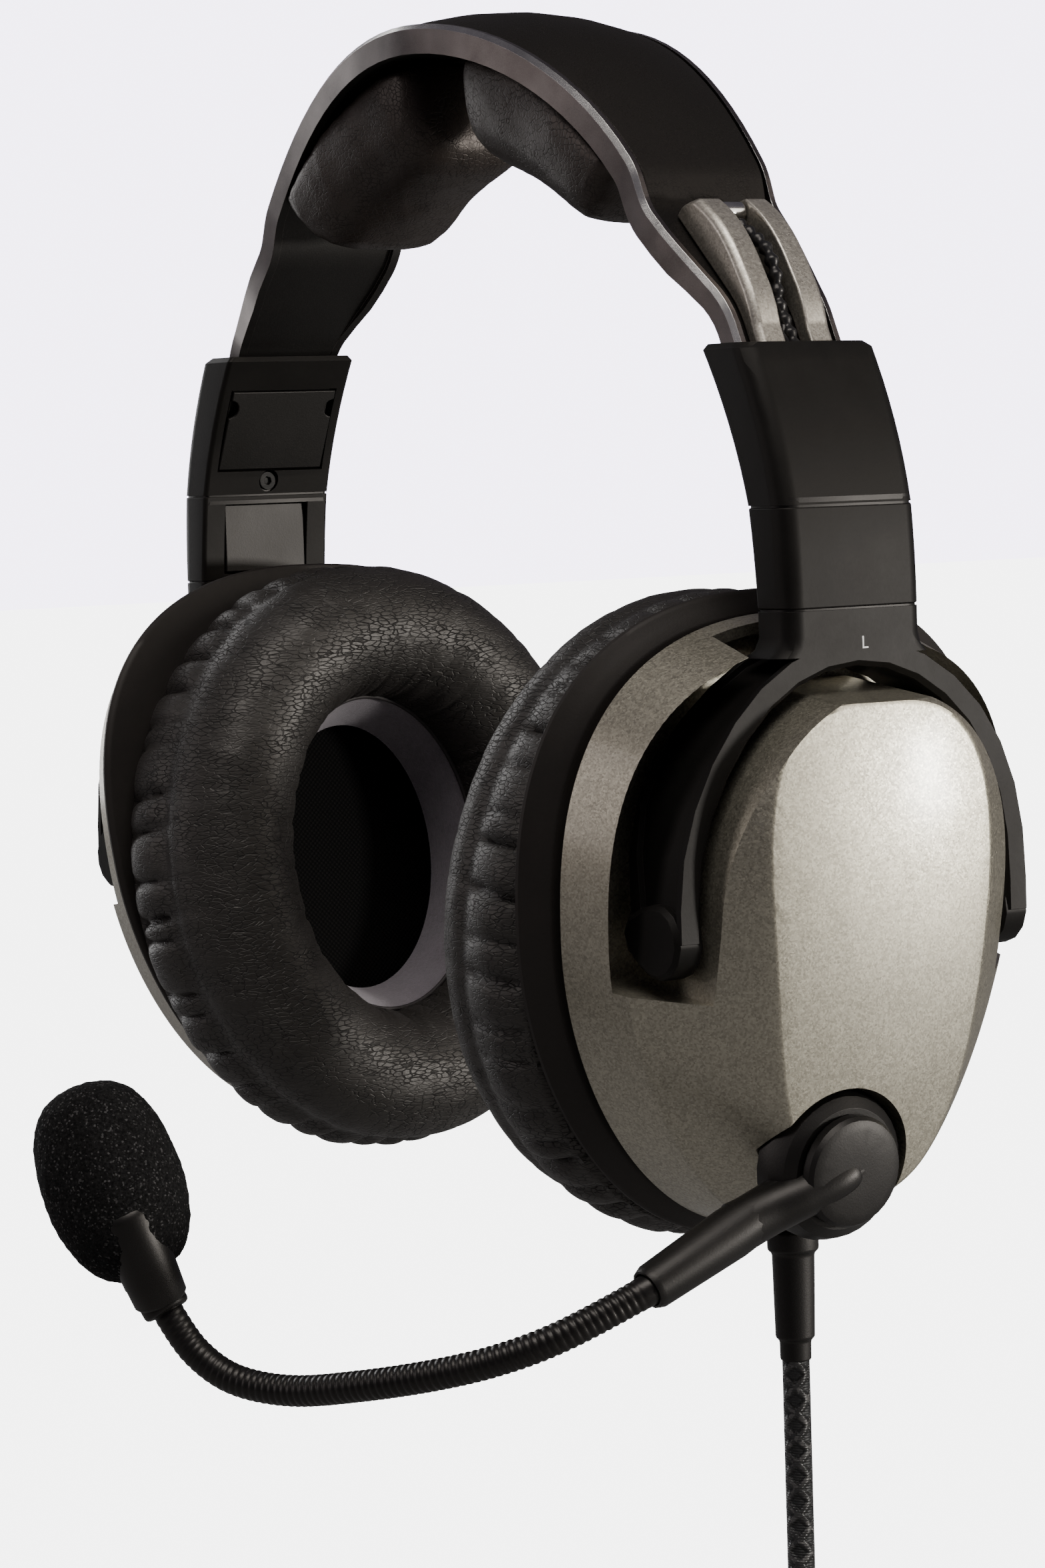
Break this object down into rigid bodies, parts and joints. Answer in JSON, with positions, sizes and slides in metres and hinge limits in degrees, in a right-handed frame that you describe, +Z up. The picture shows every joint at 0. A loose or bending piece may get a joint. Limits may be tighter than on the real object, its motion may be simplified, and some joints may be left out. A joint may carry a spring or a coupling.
{
  "type": "aviation headset",
  "caption": "Over-ear pilot headset with a padded metal headband, sliding sleeves, swivelling stirrups, sealed oval ear cups, a turning boom microphone and a braided cable.",
  "frame": {"origin": "underside of the headband frame at the crown, on the centre plane, where the headband rests on a head or a hook", "axes": "+X is the wearer's left, -Y is the wearer's front, +Z is up; the ear cups face each other along X"},
  "size_m": [0.203, 0.1493, 0.4081],
  "materials": {
    "band_metal": "satin gunmetal",
    "cover_leather": "fine black grain",
    "pad_leather": "soft brown-black grain",
    "fork_metal": "satin champagne",
    "pin_steel": "polished",
    "wire_jacket": "smooth",
    "stem_plastic": "satin black",
    "plate_plastic": "matte black",
    "screw_steel": "blackened",
    "yoke_paint": "satin black",
    "shell_paint": "champagne metal-flake paint",
    "chassis_plastic": "matte grey-brown",
    "baffle_mesh": "black mesh",
    "driver_cone": "matte",
    "cushion_leather": "pleated brown-black",
    "liner_felt": "grey felt",
    "board_laminate": "green solder mask",
    "boom_plastic": "satin black",
    "cap_plastic": "matte black",
    "gooseneck_rubber": "fine ribs",
    "windscreen_foam": "open-cell foam",
    "boot_rubber": "matte",
    "cable_braid": "tight black braid",
    "tie_strap": "woven hook strap",
    "plug_plastic": "satin black",
    "plug_metal": "nickel plate"
  },
  "bodies": {
    "headband": {"headband_frame": "band_metal", "headband_cover": "cover_leather", "head_pad_left": "pad_leather", "head_pad_right": "pad_leather", "slider_arm_left": "fork_metal", "slider_arm_right": "fork_metal", "arm_roller_left": "pin_steel", "arm_roller_right": "pin_steel", "crossover_wire_left": "wire_jacket", "crossover_wire_right": "wire_jacket"},
    "left_stem": {"sleeve_shell_left": "stem_plastic", "sleeve_plate_left": "plate_plastic", "sleeve_screw_left": "screw_steel", "stem_block_left": "stem_plastic", "stem_cover_left": "plate_plastic", "swivel_pin_left": "pin_steel"},
    "left_stirrup": {"yoke_left": "yoke_paint", "yoke_screw_left": "screw_steel", "pivot_pin_front_left": "pin_steel", "pivot_pin_rear_left": "pin_steel"},
    "left_cup": {"cup_shell_left": "shell_paint", "cup_chassis_left": "chassis_plastic", "baffle_left": "baffle_mesh", "driver_left": "driver_cone", "ear_cushion_left": "cushion_leather", "cushion_liner_left": "liner_felt", "circuit_board_left": "board_laminate", "cable_boot": "boot_rubber", "cable_run": "cable_braid", "cable_coil": "cable_braid", "coil_tie": "tie_strap", "cable_tail": "cable_braid", "plug_body": "plug_plastic", "plug_tip": "plug_metal"},
    "right_stem": {"sleeve_shell_right": "stem_plastic", "sleeve_plate_right": "plate_plastic", "sleeve_screw_right": "screw_steel", "stem_block_right": "stem_plastic", "stem_cover_right": "plate_plastic", "swivel_pin_right": "pin_steel"},
    "right_stirrup": {"yoke_right": "yoke_paint", "yoke_screw_right": "screw_steel", "pivot_pin_front_right": "pin_steel", "pivot_pin_rear_right": "pin_steel"},
    "right_cup": {"cup_shell_right": "shell_paint", "cup_chassis_right": "chassis_plastic", "baffle_right": "baffle_mesh", "driver_right": "driver_cone", "ear_cushion_right": "cushion_leather", "cushion_liner_right": "liner_felt", "circuit_board_right": "board_laminate"},
    "boom": {"boom_housing": "boom_plastic", "boom_cap": "cap_plastic", "gooseneck": "gooseneck_rubber", "mic_collar": "cap_plastic", "mic_housing": "boom_plastic", "mic_capsule": "screw_steel", "mic_windscreen": "windscreen_foam"}
  },
  "joints": [
    {"name": "left_size_slide", "type": "slide", "parent": "headband", "child": "left_stem", "axis": [0.4226, 0, -0.9063], "range_m": [-0.001, 0.012]},
    {"name": "right_size_slide", "type": "slide", "parent": "headband", "child": "right_stem", "axis": [-0.4226, 0, -0.9063], "range_m": [-0.001, 0.012]},
    {"name": "left_swivel", "type": "hinge", "parent": "left_stem", "child": "left_stirrup", "pos_m": [0.08728, 0, -0.0895], "axis": [0, 0, 1], "range_deg": [-10, 90]},
    {"name": "right_swivel", "type": "hinge", "parent": "right_stem", "child": "right_stirrup", "pos_m": [-0.0858, 0, -0.0895], "axis": [0, 0, -1], "range_deg": [-10, 90]},
    {"name": "left_cup_tilt", "type": "hinge", "parent": "left_stirrup", "child": "left_cup", "pos_m": [0.08378, 0, -0.13907], "axis": [0, 1, 0], "range_deg": [-12, 1.5]},
    {"name": "right_cup_tilt", "type": "hinge", "parent": "right_stirrup", "child": "right_cup", "pos_m": [-0.0823, 0, -0.1359], "axis": [0, -1, 0], "range_deg": [-12, 1.5]},
    {"name": "boom_turn", "type": "hinge", "parent": "left_cup", "child": "boom", "pos_m": [0.09094, -0.007, -0.17435], "axis": [0.9914, 0, -0.1305], "range_deg": [-30, 45]}
  ]
}
